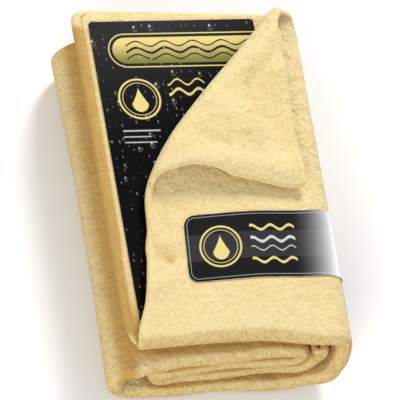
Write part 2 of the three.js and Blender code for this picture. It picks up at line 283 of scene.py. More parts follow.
def hide_columns(f):
    """Columns of the hide: outer ply from its far edge, round the near fold, inner ply to its far edge."""
    to_crease, to_near, in_fold, to_far = 42, 44, 12, 66
    a = np.linspace(0, 1, to_crease + 1)
    b = np.linspace(0, 1, to_near + 1)[1:]
    c = np.linspace(0, 1, in_fold + 1)[1:]
    even = np.linspace(0, 1, to_far + 1)[1:]
    d = (even + 0.5 - 0.5 * np.cos(math.pi * even)) / 2
    pocket_near_x = f.pocket_x + f.pocket_draw
    into_corner = np.clip(1 - (1 - d) * f.pocket_length / f.pocket_corner, 0, 1)
    rounding = f.pocket_corner * (1 - np.sqrt(1 - into_corner ** 2))
    drawn = np.maximum(1 - d * f.pocket_length / f.near_corner, 0) ** 2.5
    hollow = f.flap_hollow * smooth(b / 0.35) * smooth((1 - b) / 0.25)

    def joined(*parts):
        return np.concatenate([np.zeros_like(share) + part for share, part in zip((a, b, c, d), parts)])

    columns = SimpleNamespace(to_crease=to_crease)
    columns.turn = joined(0, 0, math.pi * c, math.pi)
    columns.far = joined(1 - a, 0, 0, 0)
    columns.crease = joined(a, 1 - b, 0, 0)
    columns.near = joined(0, b, 1, 1 - d)
    columns.inner = joined(0, 0, 0, d)
    columns.end_x = joined(
        mix(f.crease_end[0], f.crease_start[0], a),
        mix(f.crease_start[0], f.flap_x, b) + hollow,
        mix(f.flap_x, pocket_near_x, c),
        mix(f.pocket_x, pocket_near_x, drawn) + rounding)
    return columns


def across(f, columns, near, far_outer, far_inner):
    """Y of a row of points over the columns."""
    reach = f.half - f.ply / 2
    straight = columns.far * far_outer + columns.crease * f.crease_start[1]
    return straight + columns.near * near + columns.inner * far_inner - reach * np.sin(columns.turn)


def wrapped_set_back(f, x, z):
    """How far the near fold lies behind the pack's near end, over the wrapped panels."""
    lean = mix(f.base_lean, f.panel_lean, smooth((z - f.base_z) / (f.lower_z - f.base_z)))
    run = np.clip((x - f.lean_x) / (f.inner_right_x - f.lean_x), 0, 1)
    slack, wave_x, wave_z = 0.6 * MM, 9 * MM, 3.3 * MM
    return lean * np.sin(math.pi / 2 * run) + slack * np.sin(x / wave_x + z / wave_z)


def climb_share(f, z):
    """Share of the way up the right side, at a height over the floor."""
    return smooth((z - f.base_z) / (f.front_z - f.base_z))


def near_swell_at(f, z):
    """How far the near fold stands out at the right side, at a height over the floor."""
    onset, top, fade = 12 * MM, 42 * MM, 16 * MM
    rise = z - f.base_z
    return f.near_swell * smooth(rise / onset) * smooth((top - rise) / fade)


def pocket_far_at(f, x):
    """Far edge of the back leaf, shorter towards the right and drawn in at the right side's round."""
    draw, before_turn, run = 8 * MM, 5 * MM, 15 * MM
    drawn = draw * smooth((x - f.turn_x + before_turn) / run)
    return f.pocket_far_y - f.pocket_skew * (x - f.pocket_x) / (f.turn_x - f.pocket_x) - drawn


def pocket_groove_at(f, from_edge, y):
    """Depth of the groove beside the back leaf's left edge, which runs out towards the near fold."""
    clear, run, width = 20 * MM, 60 * MM, 1.1 * MM
    from_near = smooth((y - f.pocket_near_y - clear) / run)
    return f.pocket_groove * from_near * np.exp(-((from_edge - f.groove_inset) / width) ** 2)


def side_bow(f, x, y):
    """How far the left side is drawn in between its ends."""
    draw, reach, run, half_length = 1.9 * MM, 25 * MM, 20 * MM, 100 * MM
    on_left = smooth((f.left_x + reach - x) / run)
    return draw * on_left * np.clip(1 - (y / half_length) ** 2, 0, 1)


def far_hump_at(f, place):
    """Rise of the flap's far edge beside the roll, so that the roll's open end is a cup."""
    past_turn, reach_x, reach_y = 2 * MM, 7 * MM, 6 * MM
    away_x = (place[..., 0] - f.turn_x - past_turn) / reach_x
    away_y = (place[..., 1] - f.flap_far_y - f.far_bulge) / reach_y
    return f.far_hump * np.exp(-(away_x ** 2 + away_y ** 2))


def roll_radius(f, along):
    """Radius of the roll at a distance along the crease."""
    return mix(f.bend_radius, f.far_radius, smooth(2 * along / f.crease_length - 1))


def roll_start(f, along):
    """How far before the crease the roll begins, at a distance along it.

    The roll's outside draws in towards the crease's upper end, then flares out."""
    draw = 1.4 * MM
    share = along / f.crease_length
    outside = f.bend_radius - draw * smooth((share - 0.45) / 0.4)
    outside = outside + f.far_flare * smooth((share - 0.88) / 0.14)
    return roll_radius(f, along) - outside


def wrapped_points(f, columns):
    """Middle of the ply over the wrapped panels and the right side."""
    inner = walk_inner_panels(f)
    stations = np.concatenate([inner, walk_right_side(f)])
    path_x, path_z, _ = stations.T
    on_side = np.arange(len(stations)) >= len(inner)
    front = on_side * climb_share(f, path_z)
    gap = mix(f.ply_gap, f.pocket_gap, front)
    back = mix(wrapped_set_back(f, path_x, path_z), f.pocket_set_back, front)
    near = f.near_y + back - on_side * near_swell_at(f, path_z) + f.half
    below_top, top_run, bulge_run = 7 * MM, 8 * MM, 12 * MM
    on_top = smooth((path_z - f.front_z + below_top) / top_run) * (front > 0)
    bulge = f.far_bulge * smooth((f.right_x - path_x) / bulge_run)
    far_outer = mix(f.panel_far_y, f.flap_far_y + bulge, on_top)
    far_inner = mix(f.panel_far_y, pocket_far_at(f, path_x), front)
    heading = stations[:, 2:]
    offset = np.outer(gap / 2 + f.ply / 2, np.cos(columns.turn))
    y = across(f, columns, near[:, None], far_outer[:, None], far_inner[:, None])
    x = stations[:, :1] + np.sin(heading) * offset
    z = stations[:, 1:2] - np.cos(heading) * offset
    steps = np.hypot(np.diff(x[:, 0]), np.diff(z[:, 0]))
    flat_x = f.turn_x + np.append(steps[::-1].cumsum()[::-1], 0)[:, None] + np.zeros_like(y)
    place, level, lift, _ = rolled(f, flat_x, y)
    lift = lift + far_hump_at(f, level)
    outer = columns.turn == 0
    shift = np.where(outer, flat_x - place[..., 0], 0)
    lift = np.where(outer, lift, 0)
    y = np.where(outer, place[..., 1], y)
    x = x + side_bow(f, x, y) + np.cos(heading) * shift + np.sin(heading) * lift
    z = z + np.sin(heading) * shift - np.cos(heading) * lift
    return np.stack([x, y, z], axis=-1)


def soft_folds(folds, place):
    """Height of soft folds, each a line in plan with a width and a height, in millimetres."""
    height = 0
    for *ends, width, rise in folds:
        first, last = np.array(ends).reshape(2, 2) * MM
        length = np.hypot(*(last - first))
        way = (last - first) / length
        along = (place - first) @ way
        aside = (place - first) @ np.array([way[1], -way[0]])
        beyond = along - np.clip(along, 0, length)
        height += rise * MM * np.exp(-(aside ** 2 + beyond ** 2) / (width * MM) ** 2)
    return height


# Soft folds in the front flap: from x, y to x, y, then width and height
FLAP_FOLDS = (
    (-57, -96, -52, -66, 9.0, 3.2),
    (-53, -20, -51, -60, 9.0, 1.8),
    (-47, -35, -34, -48, 4.2, -3.4),
    (-45, -12, -48, -25, 5.0, 1.6),
    (-48, -48, -40, -62, 5.5, 1.4),
    (-30, -8, -32, -30, 5.0, -1.2),
    (30, -69, 48, -82, 3.0, -0.8),
    (28, -75, 44, -88, 4.0, 0.6),
)

# The same in the turned corner
CORNER_FOLDS = (
    (28, 62, 37, 20, 6.5, -5.5),
    (44, 84, 45, 70, 5.0, -5.0),
    (-26, 9, 40, 3, 7.0, 3.0),
    (-8, 22, 8, 17, 2.5, -2.0),
    (6, 40, 20, 28, 9.0, 2.4),
    (25, 54, 31, 36, 3.0, -1.5),
)


def eased(first, second, ease):
    """The further of two distances past an edge, softly, and its way; each comes with its own way."""
    lean = np.clip(0.5 + (first[0] - second[0]) / (2 * ease), 0, 1)
    past = mix(second[0], first[0], lean) + ease * lean * (1 - lean)
    return past, lean[..., None] * first[1] + (1 - lean)[..., None] * second[1]


def rolled(f, x, y):
    """Where flat leather of the front flap comes to rest once its corner is rolled back at the crease.

    Gives the place in plan, the place under it on the flap, the lift, and how far past the roll it is."""
    flat = np.stack([x, y], axis=-1)
    away = flat - f.crease_start
    along = away @ f.along
    radius = roll_radius(f, along)
    past_crease = away @ f.outward + roll_start(f, along)
    past, way = eased((past_crease, f.outward), (away @ f.edge_out, f.edge_out), f.roll_ease)
    past, way = eased((past, way), (y - f.flap_far_y, np.array([0, 1])), f.far_ease)
    past = np.maximum(past, 0)
    way /= np.linalg.norm(way, axis=-1, keepdims=True)
    turn = np.clip(past / radius, 0, math.pi)
    over = np.maximum(past - math.pi * radius, 0)
    drop = 2 * radius - f.ply - f.corner_rest
    lift = radius * (1 - np.cos(turn)) - drop * smooth(over / f.landing)
    level = flat - way * (past + over)[..., None]
    place = level + way * (radius * np.sin(turn))[..., None]
    return place, level, lift, over


def front_points(f, columns):
    """Middle of the ply over the pocket: the front flap and the back leaf under the card."""
    rows, crowding = 48, 1.6
    share = 1 - (1 - (np.arange(rows)[:, None] + 1) / rows) ** crowding
    x = mix(f.turn_x, columns.end_x[None, :], share)
    crown = crown_share(f, x)
    near = f.pocket_near_y + f.half + f.pocket_bow * crown
    y = across(f, columns, near, f.flap_far_y + f.far_bulge, pocket_far_at(f, x))
    place, level, lift, _ = rolled(f, x, y)
    upper = np.cos(columns.turn / 2) ** 2
    on_flap = (columns.turn < math.pi)[None, :]
    x = np.where(on_flap, place[..., 0], x)
    y = np.where(on_flap, place[..., 1], y)
    folds = soft_folds(FLAP_FOLDS, level)
    bulge = f.flap_crown * crown_share(f, level[..., 0]) + folds
    rise = np.maximum(bulge, 0) + far_hump_at(f, level) + lift
    below = f.pocket_gap / 2 + f.ply / 2
    groove = pocket_groove_at(f, x - columns.end_x, y)
    z = f.front_z + below * np.cos(columns.turn) + rise * upper - groove * (1 - upper)
    return np.stack([x, y, z], axis=-1)


def corner_points(f, columns):
    """Middle of the ply over the bend at the crease and the corner that lies back on the flap."""
    bend_rows, corner_rows = 18, 40
    hollow_depth, hollow_from, hollow_to = 2.2 * MM, 14 * MM, 25 * MM
    ridge_rise, ridge_width, ridge_run, fold_run = 2.6 * MM, 4 * MM, 12 * MM, 10 * MM
    blunt, narrowing, slope = 0.35, 0.9, 0.69
    bend_length = math.pi * f.bend_radius
    altitude = bend_length + f.tip_reach
    last = f.tip_reach - blunt * f.tip_round
    share = (1 - columns.crease[:columns.to_crease + 1])[None, :]
    flat = np.concatenate([
        bend_length * (np.arange(bend_rows) + 1) / bend_rows,
        bend_length + last * (np.arange(corner_rows) + 1) / corner_rows,
    ])[:, None]
    low = f.tip_along * flat / altitude
    beyond = np.maximum(flat - bend_length, 0)
    in_bend = np.minimum(flat / bend_length, 1)
    top = f.crease_length - f.ridge_draw * smooth(2 * in_bend - 1)
    hollow = hollow_depth * smooth(beyond / hollow_from) * smooth((f.tip_reach - beyond) / hollow_to)
    high = top - (top - f.tip_along) * beyond / f.tip_reach - hollow
    into_tip = np.clip((flat - flat[-1] + f.tip_round) / f.tip_round, 0, 1)
    narrow = np.sqrt(1 - narrowing * into_tip ** 2)
    along = (low + high) / 2 + (high - low) * narrow * (share - 0.5)
    flat = in_bend * (math.pi * roll_radius(f, along) - roll_start(f, along)) + beyond
    bulge = f.far_bulge * share * (1 - in_bend)
    along = along + f.along[1] * bulge
    flat = flat + f.outward[1] * bulge
    x = f.crease_start[0] + f.along[0] * along + f.outward[0] * flat
    y = f.crease_start[1] + f.along[1] * along + f.outward[1] * flat
    place, level, lift, over = rolled(f, x, y)
    from_ridge = (1 - share) * (high - low) * slope
    ridge = ridge_rise * np.exp(-(from_ridge / ridge_width) ** 2) * smooth(over / ridge_run)
    folds = soft_folds(CORNER_FOLDS, level) * smooth(over / fold_run)
    room = np.maximum(lift - f.ply, f.corner_rest)
    creases = np.where(folds < 0, room * np.expm1(np.minimum(folds, 0) / room), folds)
    z = f.flap_z + f.flap_crown * crown_share(f, level[..., 0]) + lift + ridge + creases
    z += far_hump_at(f, level)
    return np.stack([place[..., 0], place[..., 1], z], axis=-1)


def grid_quads(index):
    """Quads of a grid of vertex numbers."""
    return np.stack([index[:-1, :-1], index[1:, :-1], index[1:, 1:], index[:-1, 1:]], axis=-1).reshape(-1, 4)


def vertex_normals(points, quads):
    """Unit normals at the vertices of a mesh of quads."""
    corners = points[quads]
    faces = np.cross(corners[:, 2] - corners[:, 0], corners[:, 3] - corners[:, 1])
    normals = np.zeros_like(points)
    for corner in range(4):
        np.add.at(normals, quads[:, corner], faces)
    return normals / np.linalg.norm(normals, axis=1, keepdims=True)


def open_edges(quads):
    """Edges with one face, each in its face's own direction."""
    edges = np.concatenate([quads[:, [0, 1]], quads[:, [1, 2]], quads[:, [2, 3]], quads[:, [3, 0]]])
    lone = {}
    for a, b in edges.tolist():
        if (b, a) in lone:
            del lone[(b, a)]
        else:
            lone[(a, b)] = True
    return np.array(list(lone))


def leather_shells(points, pieces, half_ply):
    """Gives a sheet its thickness and rounded cut edges, and cuts it into closed pieces."""
    rounds = 5
    quads = np.concatenate(pieces)
    normals = vertex_normals(points, quads)
    rim = open_edges(quads)
    out = np.zeros_like(points)
    along = points[rim[:, 1]] - points[rim[:, 0]]
    for end in range(2):
        np.add.at(out, rim[:, end], np.cross(along, normals[rim[:, end]]))
    rim_vertices = np.unique(rim)
    out[rim_vertices] /= np.linalg.norm(out[rim_vertices], axis=1, keepdims=True)
    count = len(points)
    layers = [points + normals * half_ply, points - normals * half_ply]
    for step in range(rounds):
        turn = math.pi * (step + 1) / (rounds + 1)
        layers.append(points + half_ply * (math.cos(turn) * normals + math.sin(turn) * out))
    shells = np.concatenate(layers)
    order = [0, *range(2, rounds + 2), 1]
    rim_set = {tuple(edge) for edge in rim.tolist()}
    outwards = shells - np.tile(points, (rounds + 2, 1))
    return [closed_piece(shells, outwards, piece, rim_set, order, count) for piece in pieces]


def nap_lie(f, points, faces, outwards):
    """Share of painted shade at each point: where other leather closes it in, as a painted shadow beside the
    pocket's left edge, and inside the pocket.
    """
    reach, clear, flat_rays = 14 * MM, 0.3 * MM, 10
    tree = BVHTree.FromPolygons([tuple(point) for point in points], faces)
    ways = [Vector(way).normalized() for way in outwards]
    spread = [(lean, math.pi * turn / 3) for lean in (0.4, 0.8, 0.95) for turn in range(6)]
    shade_share = np.zeros(len(points))
    for number, (point, way) in enumerate(zip(points, ways)):
        aside = way.orthogonal().normalized()
        across = way.cross(aside)
        start = Vector(point) + way * clear
        for lean, turn in spread:
            level = aside * math.cos(turn) + across * math.sin(turn)
            distance = tree.ray_cast(start, way * math.sqrt(1 - lean ** 2) + level * lean, reach)[3]
            if distance is not None:
                shade_share[number] += (1 - distance / reach) / flat_rays
    # Painted shadow on the left fold beside the back leaf's left edge
    edge_shade, edge_width = 0.6, 5.5 * MM
    by_pocket = np.exp(-((points[:, 0] - f.pocket_x) / edge_width) ** 2)
    below_pocket = points[:, 2] < f.upper_z + f.half + 1 * MM
    on_fold = smooth((points[:, 2] - f.lower_z) / (f.middle_z - f.lower_z)) * below_pocket
    return shade_share + edge_shade * by_pocket * on_fold + pocket_shade(f, points)


def pocket_shade(f, points):
    """Painted shade on the back leaf inside the pocket: most by the leaf's left edge."""
    darkened, at_edge = 0.13, 0.47
    clear_near, clear_right, clear_far, clear_edge = 6 * MM, 5 * MM, 4 * MM, 1.5 * MM
    end_run, side_run, edge_run = 8 * MM, 10 * MM, 4 * MM
    x, y, z = points.T
    on_leaf = (z > f.upper_z + f.half + 1 * MM) & (z < f.front_z)
    past_near = smooth((y - f.pocket_near_y - clear_near) / end_run)
    short_of_side = smooth((f.turn_x - clear_right - x) / side_run)
    short_of_end = smooth((pocket_far_at(f, x) - y - clear_far) / end_run)
    by_edge = smooth((f.pocket_x + f.groove_inset + clear_edge - x) / edge_run)
    return on_leaf * past_near * short_of_side * short_of_end * (darkened + at_edge * by_edge)


def nap_turn(outwards):
    """Painted shade on leather turned away from above, with more added where it is turned towards the near
    end, at each point.
    """
    ways = outwards / np.linalg.norm(outwards, axis=1, keepdims=True)
    return smooth((0.75 - ways[:, 2]) / 1.3) + 0.8 * smooth(-ways[:, 1])


def closed_piece(shells, outwards, quads, rim_set, order, count):
    """Faces of one closed piece: both sides, its part of the rounded rim, and its cut at the crease."""
    faces = quads.tolist()
    faces += [[vertex + count for vertex in reversed(quad)] for quad in faces]
    cut_ends = {}
    for a, b in open_edges(quads).tolist():
        if (a, b) in rim_set:
            for upper, lower in zip(order, order[1:]):
                faces.append([b + upper * count, a + upper * count, a + lower * count, b + lower * count])
        else:
            faces.append([b, a, a + count, b + count])
            for vertex in (a, b):
                cut_ends[vertex] = cut_ends.get(vertex, 0) + 1
    for vertex, uses in cut_ends.items():
        if uses == 1:
            faces.append([vertex + layer * count for layer in order])
    used = np.unique(np.concatenate([np.array(face) for face in faces]))
    renumber = {int(old): new for new, old in enumerate(used)}
    return shells[used], [[renumber[vertex] for vertex in face] for face in faces], outwards[used]


def mesh_object(name, points, faces, outwards, nap):
    """A smooth object at the origin, with its faces turned outwards, shaded by the given normals, and with
    the given painted shade shares as point attributes.
    """
    mesh = bpy.data.meshes.new(name)
    mesh.from_pydata([tuple(point) for point in points], [], faces)
    work = bmesh.new()
    work.from_mesh(mesh)
    bmesh.ops.recalc_face_normals(work, faces=work.faces)
    work.to_mesh(mesh)
    work.free()
    mesh.shade_smooth()
    mesh.normals_split_custom_set_from_vertices([Vector(way).normalized() for way in outwards])
    for kind, values in nap.items():
        mesh.attributes.new(kind, "FLOAT", "POINT").data.foreach_set("value", values.astype(np.float32))
    made = bpy.data.objects.new(name, mesh)
    bpy.context.scene.collection.objects.link(made)
    return made


def math_step(operation):
    """A method that adds one Math node."""
    return lambda level, *others: level.finish.math(operation, level, *others)


class Level:
    """A number that varies over a surface; its operators add Math nodes."""

    def __init__(self, finish, socket):
        self.finish, self.socket = finish, socket

    __add__ = math_step("ADD")
    __sub__ = math_step("SUBTRACT")
    __mul__ = math_step("MULTIPLY")
    __truediv__ = math_step("DIVIDE")
    __pow__ = math_step("POWER")
    __abs__ = math_step("ABSOLUTE")
    least = math_step("MINIMUM")
    most = math_step("MAXIMUM")
    sine = math_step("SINE")

    def __rsub__(self, other):
        return self.finish.math("SUBTRACT", other, self)

    def fade(self, low, high):
        """0 at low, 1 at high, smooth between; low may be the larger."""
        node = self.finish.node(
            "ShaderNodeMapRange", {"interpolation_type": "SMOOTHSTEP"},
            {"Value": self, "From Min": low, "From Max": high})
        return Level(self.finish, node.outputs["Result"])


class Finish:
    """A material and the nodes that make it."""

    def __init__(self, name):
        self.material = bpy.data.materials.new(name)
        self.material.use_nodes = True
        self.tree = self.material.node_tree
        self.tree.nodes.clear()
        self.shader = self.node("ShaderNodeBsdfPrincipled")
        self.node("ShaderNodeOutputMaterial", {}, {"Surface": self.shader.outputs["BSDF"]})

    def node(self, kind, settings=None, values=None):
        made = self.tree.nodes.new(kind)
        for name, value in (settings or {}).items():
            setattr(made, name, value)
        for name, value in (values or {}).items():
            self.plug(made.inputs[name], value)
        return made

    def plug(self, socket, value):
        if isinstance(value, Level):
            self.tree.links.new(value.socket, socket)
        elif isinstance(value, bpy.types.NodeSocket):
            self.tree.links.new(value, socket)
        elif socket.type == "RGBA":
            socket.default_value = (*value[:3], 1)
        else:
            socket.default_value = value

    def set(self, **values):
        for name, value in values.items():
            self.plug(self.shader.inputs[name.replace("_", " ")], value)

    def math(self, operation, *values):
        node = self.node("ShaderNodeMath", {"operation": operation})
        for socket, value in zip(node.inputs, values):
            self.plug(socket, value)
        return Level(self, node.outputs[0])

    def coordinates(self):
        return self.node("ShaderNodeTexCoord").outputs["Object"]

    def parts(self, vector):
        split = self.node("ShaderNodeSeparateXYZ", {}, {"Vector": vector})
        return [Level(self, split.outputs[axis]) for axis in "XYZ"]

    def noise(self, vector, scale, detail, rough):
        node = self.node(
            "ShaderNodeTexNoise", {},
            {"Vector": vector, "Scale": scale, "Detail": detail, "Roughness": rough})
        return Level(self, node.outputs["Fac"])

    def blend(self, low, high, share):
        node = self.node("ShaderNodeMix", {"data_type": "RGBA"})
        for place, value in ((0, share), (6, low), (7, high)):
            self.plug(node.inputs[place], value)
        return node.outputs[2]

    def bump(self, height, strength, distance):
        node = self.node("ShaderNodeBump", {}, {"Height": height, "Strength": strength, "Distance": distance})
        self.plug(self.shader.inputs["Normal"], node.outputs["Normal"])


def chamois_finish(colours):
    """Soft napped leather: pebbled grain, mottled where the nap lies this way and that, with painted shade
    deep in its folds and on leather turned away from above.
    """
    finish = Finish("chamois")
    place = finish.coordinates()
    swell = finish.noise(place, 110, 3, 0.55)
    pebble = finish.noise(place, 380, 3, 0.6)
    grain = finish.noise(place, 1000, 3, 0.65)
    mottle = finish.noise(place, 45, 4, 0.6).fade(0.38, 0.68)
    # Shares of painted shade kept on the mesh: in folds and gaps, and on leather turned away from above
    shade_share, turn = (
        Level(finish, finish.node("ShaderNodeAttribute", {"attribute_name": kind}).outputs["Fac"])
        for kind in ("nap_lie", "nap_turn"))
    fine, coarse = grain.fade(0.66, 0.38), pebble.fade(0.65, 0.35)
    # Grain and mottle are the leather's own tone; the turned share adds painted shade on leather turned away
    # from above
    tone = finish.blend(
        colours.hide, colours.hide_nap_and_shade, mottle * 0.1 + fine * 0.45 + coarse * 0.2 + turn * 0.25)
    # Painted shade: specks of it where the leather is turned away from above, and more deep in folds and gaps
    shade_specks = fine.most(coarse) ** 2 * turn * 0.4
    tone = finish.blend(tone, colours.hide_painted_shade, (shade_share.fade(0.0, 0.6) * 0.8).most(shade_specks))
    finish.set(Base_Color=tone, Roughness=0.95, Specular_IOR_Level=0.15)
    finish.set(Sheen_Weight=0.15, Sheen_Roughness=0.5)
    finish.bump(swell * 1.2 + pebble * 0.5 + grain * 0.35, 1.0, 0.0021)
    return finish.material


class Print:
    """Marks on a printed surface, in millimetres; each mark is 1 on its print and 0 off it."""

    def __init__(self, finish, across, up):
        self.finish, self.across, self.up = finish, across, up
        self.soft = 0.25

    def below(self, distance):
        return distance.fade(self.soft, -self.soft)

    def away(self, x, y):
        return ((self.across - x) ** 2 + (self.up - y) ** 2) ** 0.5

    def box(self, x0, y0, x1, y1):
        return self.below(self.round_box(x0, y0, x1, y1, 0))

    def round_box(self, x0, y0, x1, y1, radius):
        """Distance outside a box with round corners, negative inside."""
        far_x = abs(self.across - (x0 + x1) / 2) - ((x1 - x0) / 2 - radius)
        far_y = abs(self.up - (y0 + y1) / 2) - ((y1 - y0) / 2 - radius)
        return (far_x.most(0) ** 2 + far_y.most(0) ** 2) ** 0.5 + far_x.most(far_y).least(0) - radius

    def ring(self, x, y, radius, width):
        return self.below(abs(self.away(x, y) - radius) - width / 2)

    def drop(self, x, y, radius):
        """A water drop: round below, drawn out to a point above."""
        up = (self.up - y) / radius
        below = (1 - up.least(0) ** 2).most(0) ** 0.5
        above = (1 - up.most(0) / 2.2).most(0) ** 1.4
        return self.below(abs(self.across - x) - below.least(above) * radius + self.soft)

    def badge(self, x, y):
        """A water drop in a ring, with a finer ring inside it."""
        return self.ring(x, y, 12, 1.1).most(self.drop(x, y - 3, 5)).most(self.ring(x, y, 9.9, 0.4))

    def wave(self, y, length, height, width, x0, x1):
        """A level wave line between two places."""
        tall = 50
        line = abs(self.up - y - (self.across * (2 * math.pi / length)).sine() * height) - width / 2
        return self.below(line) * self.box(x0, y - tall, x1, y + tall)

    def waves(self, lines, length, height, x0, x1):
        """Wave lines over each other, each with its place up and its width."""
        made = [self.wave(y, length, height, width, x0, x1) for y, width in lines]
        return functools.reduce(Level.most, made)


def water_beads(marks, place, cell, share, largest):
    """Beads of water on gloss: how much of a bead, how bright its glint, and its height."""
    finish = marks.finish
    cells = finish.node(
        "ShaderNodeTexVoronoi", {"voronoi_dimensions": "2D"}, {"Vector": place, "Scale": 1 / (cell * MM)})
    chance, span, _ = finish.parts(cells.outputs["Color"])
    middle_x, middle_y, _ = finish.parts(cells.outputs["Position"])
    radius = (span * 0.7 + 0.3) * largest
    aside = (marks.across - middle_x * 1000) / radius
    above = (marks.up - middle_y * 1000) / (radius * 1.25)
    far = (aside ** 2 + above ** 2) ** 0.5
    kept = chance.fade(1 - share - 0.01, 1 - share + 0.01)
    bead = far.fade(1.0, 0.85) * kept
    glint = ((aside + 0.25) ** 2 + (above - 0.35) ** 2) ** 0.5
    shine = (glint.fade(0.5, 0.15) + far.fade(0.45, 0.95) * above.fade(0.1, -0.9) * 0.35) * bead
    shine = shine * (span * 0.85 + 0.15)
    height = (1 - far.least(1) ** 2) * kept
    return bead, shine, height


def card_print(colours):
    """Gloss board: dark ground with beads of water, gold ornaments and fine pale lines, and a painted
    reflection that pales the ground towards the top left.
    """
    finish = Finish("card_print")
    place = finish.coordinates()
    x, y, _ = finish.parts(place)
    marks = Print(finish, x * 1000, y * 1000)
    haze = finish.noise(place, 14, 2, 0.5).fade(0.3, 0.75)
    # Painted reflection: the ground pales towards the top left, mottled by the haze
    painted_glare = (marks.up - marks.across * 0.5).fade(40, 125)
    tone = finish.blend(colours.black, colours.grey, painted_glare * (haze * 0.5 + 0.5))
    beads = [water_beads(marks, place, 9, 0.5, 2.0), water_beads(marks, place, 4, 0.4, 0.8)]
    for bead, shine, _ in beads:
        tone = finish.blend(tone, colours.grey, bead * 0.6)
        tone = finish.blend(tone, colours.silver, shine * 0.85)
    bar = marks.round_box(-44, 76, 60, 92, 8)
    ripples = marks.waves([(88, 0.9), (84, 1.6), (80, 0.9)], 17, 1.6, -36, 60)
    shaded = finish.blend(colours.gold, colours.gold_deep, marks.up.fade(91, 76))
    tone = finish.blend(tone, shaded, marks.below(bar) * (1 - ripples))
    frame_line = marks.below(abs(bar - 2.2) - 0.35)
    badge = marks.badge(-33, 54)
    curls = marks.waves([(64, 1.0), (58, 1.7)], 12, 1.8, -15, 7)
    tone = finish.blend(tone, colours.gold, frame_line.most(badge).most(curls))
    rules = marks.box(-46, 34, -24, 34.9).most(marks.box(-46, 30.4, -30, 31.1))
    rules = rules.most(marks.box(-46, 27, -27, 27.7))
    tone = finish.blend(tone, colours.silver, rules * 0.8)
    finish.set(Base_Color=tone, Roughness=0.18, Specular_IOR_Level=0.08)
    finish.bump(beads[0][2] + beads[1][2] * 0.4, 0.5, 0.0004)
    return finish.material


def band_print(colours, sizes, length):
    """Gloss strip: dark ground with a paler stripe, a pale line inside its edge and gold ornaments, with a
    painted highlight where it turns round the right side.
    """
    finish = Finish("band_print")
    u, v, _ = finish.parts(finish.node("ShaderNodeUVMap", {"uv_map": "strip"}).outputs["UV"])
    width = sizes.width * 1000
    marks = Print(finish, u * (length * 1000), (v - 0.5) * width)
    sheen = finish.noise(finish.coordinates(), 25, 2, 0.5)
    past_end, inset = 300, 1.5
    stripe = marks.box(-1, -8, past_end, 8) * (sheen * 0.6 + 0.5)
    tone = finish.blend(colours.black, colours.grey, stripe)
    corner = sizes.corner * 1000 - inset
    edge = marks.round_box(inset, inset - width / 2, past_end, width / 2 - inset, corner)
    tone = finish.blend(tone, colours.silver, marks.below(abs(edge) - 0.18) * 0.55)
    gold = marks.badge(20, 0).most(marks.waves([(10, 1.6), (-10, 1.6)], 12, 1.4, 38, 66))
    tone = finish.blend(tone, colours.gold, gold)
    pale = marks.wave(2.7, 12, 1.4, 1.8, 38, 66).most(marks.wave(-2.7, 12, 1.4, 0.8, 38, 66) * 0.8)
    tone = finish.blend(tone, colours.silver, pale)
    # Painted highlight: the band pales to white where it turns round the right side, then darkens again down
    # the side
    shoulder = ((marks.across - 61) / 30).most(0).least(1) ** 3 * marks.across.fade(106, 92)
    tone = finish.blend(tone, colours.white, shoulder)
    finish.set(Base_Color=tone, Roughness=0.3, Specular_IOR_Level=0.1, Coat_Weight=0.3, Coat_Roughness=0.2)
    return finish.material


class CHAMOIS_OT_hide(bpy.types.Operator):
    """Builds the folded hide and its turned corner"""
    bl_idname = "chamois.hide"
    bl_label = "Folded hide"

    def execute(self, context):
        f = fold_plan(context.scene.chamois_hide_sizes)
        columns = hide_columns(f)
        main = np.concatenate([wrapped_points(f, columns), front_points(f, columns)])
        corner = corner_points(f, columns)
        points = np.concatenate([main.reshape(-1, 3), corner.reshape(-1, 3)])
        index = np.arange(len(points))
        main_index = index[:main[..., 0].size].reshape(main.shape[:2])
        corner_index = index[main_index.size:].reshape(corner.shape[:2])
        corner_index = np.concatenate([main_index[-1:, :corner.shape[1]], corner_index])
        shells = leather_shells(points, [grid_quads(main_index), grid_quads(corner_index)], f.ply / 2)
        # Painted shade on the hide, faded out on the flap near the crease; none on the turned corner
        from_crease = (shells[0][0][:, :2] - f.crease_start) @ f.outward
        on_flap = shells[0][0][:, 2] > f.front_z
        fade = 8 * MM
        clear = np.where(on_flap, smooth(-from_crease / fade), 1)
        nap = {"nap_lie": nap_lie(f, *shells[0]) * clear, "nap_turn": nap_turn(shells[0][2]) * clear}
        hide = mesh_object("hide", *shells[0], nap)
        stands = np.zeros(len(shells[1][0]))
        turned = mesh_object("hide_corner", *shells[1], {"nap_lie": stands, "nap_turn": stands})
        leather = chamois_finish(context.scene.chamois_finishes)
        for piece in (hide, turned):
            piece.data.materials.append(leather)
        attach(hide, "hide")
        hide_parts("chamois_hide")
        self.bend(f, turned)
        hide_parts("corner_bend", "turned_corner")
        return {"FINISHED"}

    def bend(self, f, turned):
        """Bakes the turned corner's transform into its mesh; the points it works out over the crease are not
        used.
        """
        clear, run = 1.5 * MM, 4.1 * MM
        middle = (f.crease_start + f.crease_end) / 2
        first = np.array([middle[0], middle[1], f.flap_z + f.flap_crown + f.ply / 2 + clear])
        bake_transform(turned)


class CHAMOIS_OT_card(bpy.types.Operator):
    """Prints the insert card"""
    bl_idname = "chamois.card"
    bl_label = "Insert card"

    def execute(self, context):
        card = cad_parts["insert_card"]
        card.data.materials.clear()
        card.data.materials.append(card_print(context.scene.chamois_finishes))
        return {"FINISHED"}


